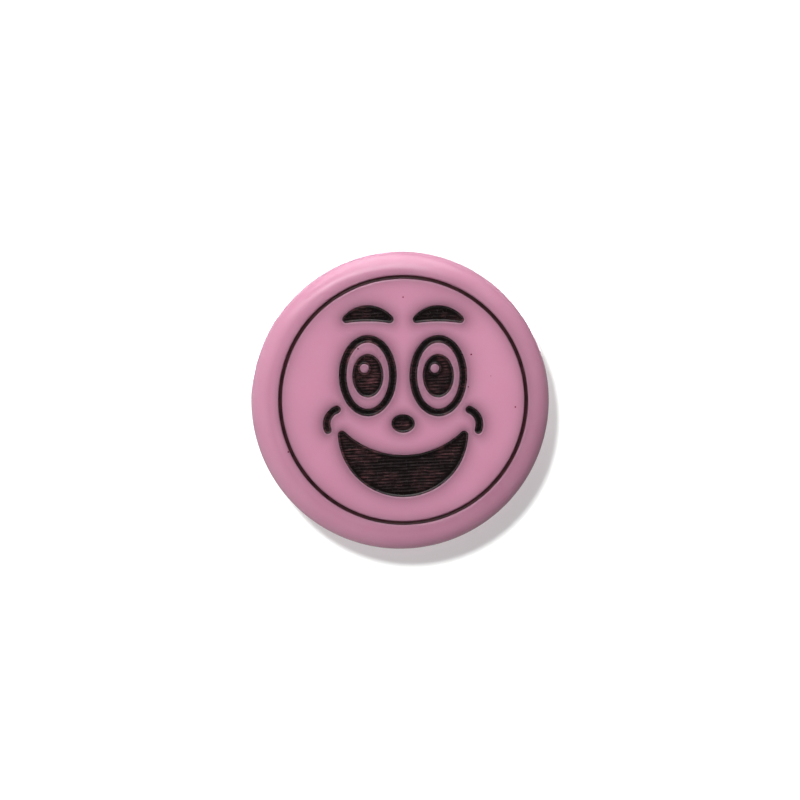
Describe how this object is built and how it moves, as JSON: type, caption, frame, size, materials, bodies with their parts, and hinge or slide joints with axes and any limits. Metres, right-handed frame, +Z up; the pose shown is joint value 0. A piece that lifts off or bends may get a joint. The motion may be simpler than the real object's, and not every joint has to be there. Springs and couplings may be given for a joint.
{
  "type": "button badge",
  "caption": "Round plastic badge with a rounded rim and an engraved, paint-filled smiling face, worn with a bar pin and rotating safety catch.",
  "frame": {"origin": "centre of the disc's flat back, where the badge meets the cloth", "axes": "worn upright: +Z up, the face looks along -Y, the pin and the cloth are on the +Y side, +X along the needle towards its tip"},
  "size_m": [0.0382, 0.0113, 0.0382],
  "materials": {
    "pink_plastic": "polished, slightly translucent",
    "engraving_paint": "glossy black-brown enamel, worn on the hatch ridges",
    "nickel_plate": "nickel-plated stamped steel, lightly scuffed",
    "needle_steel": "drawn and polished wire"
  },
  "bodies": {
    "badge": {"badge_disc": "pink_plastic", "ring_paint": "engraving_paint", "left_brow_paint": "engraving_paint", "right_brow_paint": "engraving_paint", "left_eye_outline_paint": "engraving_paint", "right_eye_outline_paint": "engraving_paint", "left_pupil_paint": "engraving_paint", "right_pupil_paint": "engraving_paint", "nose_paint": "engraving_paint", "mouth_paint": "engraving_paint", "left_cheek_paint": "engraving_paint", "right_cheek_paint": "engraving_paint", "pin_bar": "nickel_plate", "bar_screws": "nickel_plate", "hinge_bracket": "nickel_plate", "hinge_rivet": "nickel_plate", "catch_body": "nickel_plate"},
    "needle_arm": {"pin_needle": "needle_steel"},
    "lock_collar": {"catch_lock": "nickel_plate"}
  },
  "joints": [
    {"name": "needle_swing", "type": "hinge", "parent": "badge", "child": "needle_arm", "pos_m": [-0.011, 0.0036, 0.004], "axis": [0, 0, 1], "range_deg": [0, 85]},
    {"name": "catch_lock", "type": "hinge", "parent": "badge", "child": "lock_collar", "pos_m": [0.0103, 0.0036, 0.004], "axis": [1, 0, 0], "range_deg": [0, 90]}
  ]
}
